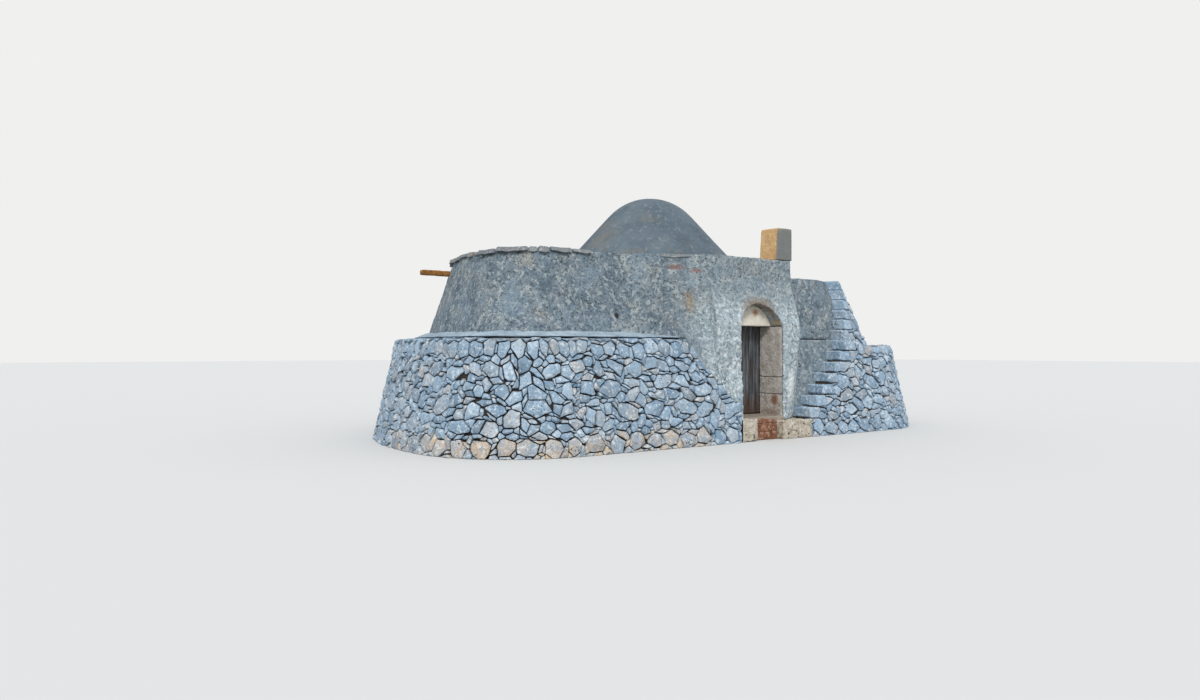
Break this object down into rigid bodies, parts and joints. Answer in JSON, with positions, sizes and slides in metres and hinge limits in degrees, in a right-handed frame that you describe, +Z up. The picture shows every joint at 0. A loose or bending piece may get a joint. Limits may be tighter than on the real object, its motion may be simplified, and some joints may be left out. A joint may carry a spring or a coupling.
{
  "type": "trullo house",
  "caption": "Dry-stone country house with a stepped battered wall, a rendered dome over its round room, a plastered portal with a plank door, outside steps and a square chimney.",
  "frame": {"origin": "on the ground, under the centre of the dome and of the round room", "axes": "+Z up, the door faces -Y, +X to the right seen from in front of the door"},
  "size_m": [11.3, 7.85, 4.8287],
  "materials": {
    "cream_stone": "smooth pale limestone with an iron stain",
    "dome_render": "smooth trowelled lime render",
    "dressed_stone": "tooled limestone",
    "dry_stone": "rough broken limestone",
    "floor_stone": "worn stone floor",
    "iron": "rusted wrought iron",
    "lime_plaster": "rough weathered lime plaster",
    "mortar": "trowelled lime mortar",
    "old_wood": "weathered grey planks",
    "porous_stone": "pitted porous limestone",
    "portal_plaster": "rough pale lime plaster",
    "red_stone": "stone stained by red earth",
    "spout_stone": "rust-stained stone",
    "tufa": "sawn tufa"
  },
  "bodies": {
    "house": {"arch_stone": "cream_stone", "chimney": "tufa", "dome": "dome_render", "door_pintles": "iron", "foot_block": "porous_stone", "jamb_stone_1": "dressed_stone", "jamb_stone_2": "dressed_stone", "jamb_stone_3": "dressed_stone", "ledge_fillet": "mortar", "lower_wall_back": "lime_plaster", "lower_wall_front_left": "lime_plaster", "lower_wall_front_right": "lime_plaster", "lower_wall_left": "lime_plaster", "lower_wall_right": "lime_plaster", "parapet_back": "lime_plaster", "parapet_front": "lime_plaster", "parapet_left": "lime_plaster", "passage_roof": "lime_plaster", "portal_capping": "portal_plaster", "portal_head": "portal_plaster", "portal_left_pier": "portal_plaster", "portal_right_pier": "portal_plaster", "rain_spout": "spout_stone", "riser_stones": "red_stone", "skirt_back": "dry_stone", "skirt_front_left": "dry_stone", "skirt_left": "dry_stone", "skirt_right": "dry_stone", "stair_foot_course": "dry_stone", "stair_inner_wall": "lime_plaster", "step_1": "dry_stone", "step_2": "dry_stone", "step_3": "dry_stone", "step_4": "dry_stone", "step_5": "dry_stone", "step_6": "dry_stone", "step_7": "dry_stone", "stone_floor": "floor_stone", "threshold_block": "porous_stone", "threshold_slab": "floor_stone", "upper_steps": "dry_stone", "upper_wall_back": "lime_plaster", "upper_wall_front_left": "lime_plaster", "upper_wall_front_right": "lime_plaster", "upper_wall_left": "lime_plaster", "upper_wall_right": "lime_plaster"},
    "door": {"door_leaf": "old_wood", "door_straps": "iron", "door_ledgers": "old_wood"}
  },
  "joints": [
    {"name": "door_hinge", "type": "hinge", "parent": "house", "child": "door", "pos_m": [-1.027, -2.941, 1.24], "axis": [0, 0, 1], "range_deg": [0, 90]}
  ]
}
